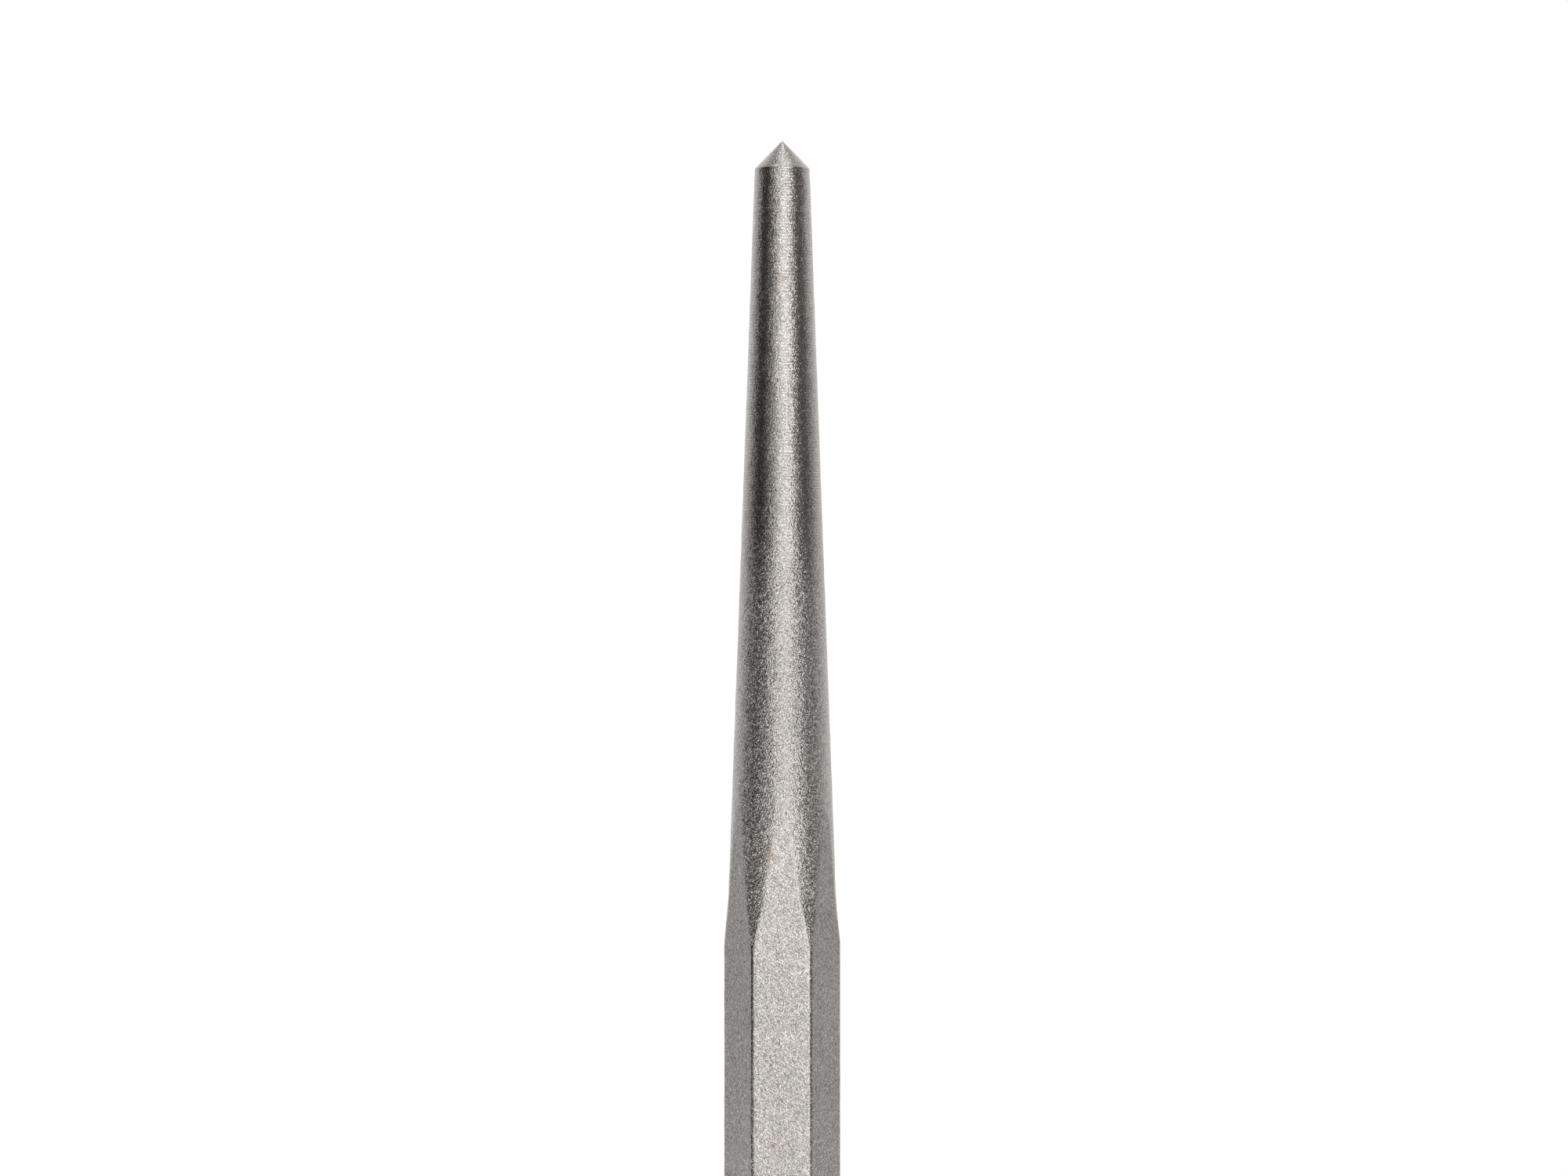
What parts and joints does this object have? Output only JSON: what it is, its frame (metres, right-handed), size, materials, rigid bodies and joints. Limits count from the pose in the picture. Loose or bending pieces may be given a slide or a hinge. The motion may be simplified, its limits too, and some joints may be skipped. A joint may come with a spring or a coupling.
{
  "type": "center punch",
  "caption": "Solid steel hand punch with a hexagonal shank, a long round taper and a conical point, struck with a hammer to mark hole centres in metal.",
  "frame": {"origin": "centre of the struck face, which is the flat end that a hammer hits and that the punch stands on", "axes": "+Z along the bar from the struck face to the point; +Y and -Y are outward normals of two opposite flats of the hexagon, so +X and -X run through two opposite corners"},
  "size_m": [0.0108, 0.0096, 0.1524],
  "materials": {
    "blasted_steel": "hardened tool steel, shot-blasted to an even satin grain, uncoated"
  },
  "bodies": {
    "root": {"center_punch": "blasted_steel"}
  },
  "joints": []
}
